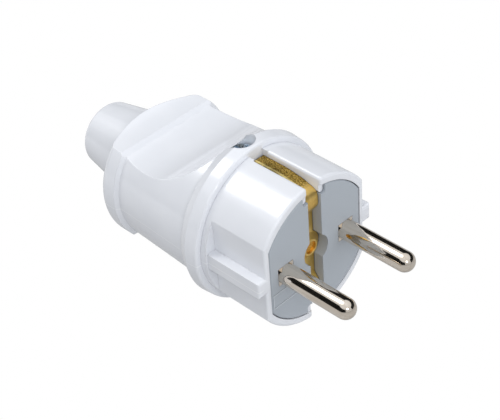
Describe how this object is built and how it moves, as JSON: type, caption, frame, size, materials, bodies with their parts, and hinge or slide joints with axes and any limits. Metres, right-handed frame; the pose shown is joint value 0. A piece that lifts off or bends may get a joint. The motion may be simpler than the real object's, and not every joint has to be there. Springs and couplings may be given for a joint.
{
  "type": "grounded plug",
  "caption": "Rewirable grounded mains plug with round pins, side earth contacts and finger scoops in its hood.",
  "frame": {"origin": "on the plug's axis, at the plane of the carrier's front face between the two pins", "axes": "+X towards the pin tips, +Z towards the housing screw, +Y towards the left pin"},
  "size_m": [0.0877, 0.0402, 0.04],
  "materials": {
    "housing": "glossy",
    "carrier": "satin",
    "pins": "nickel plated",
    "brass": "bare",
    "steel": "zinc plated"
  },
  "bodies": {
    "root": {"front_shell": "housing", "hood": "housing", "bend_sleeve": "housing", "contact_carrier": "carrier", "carrier_back": "carrier", "cord_clamp": "carrier", "left_pin": "pins", "right_pin": "pins", "earth_strip": "brass", "left_clamp_nut": "steel", "right_clamp_nut": "steel", "housing_nut": "steel", "earth_washer": "steel", "left_terminal_screw": "steel", "right_terminal_screw": "steel", "earth_screw": "steel", "upper_carrier_screw": "steel", "lower_carrier_screw": "steel", "left_clamp_screw": "steel", "right_clamp_screw": "steel", "housing_screw": "steel"}
  },
  "joints": []
}
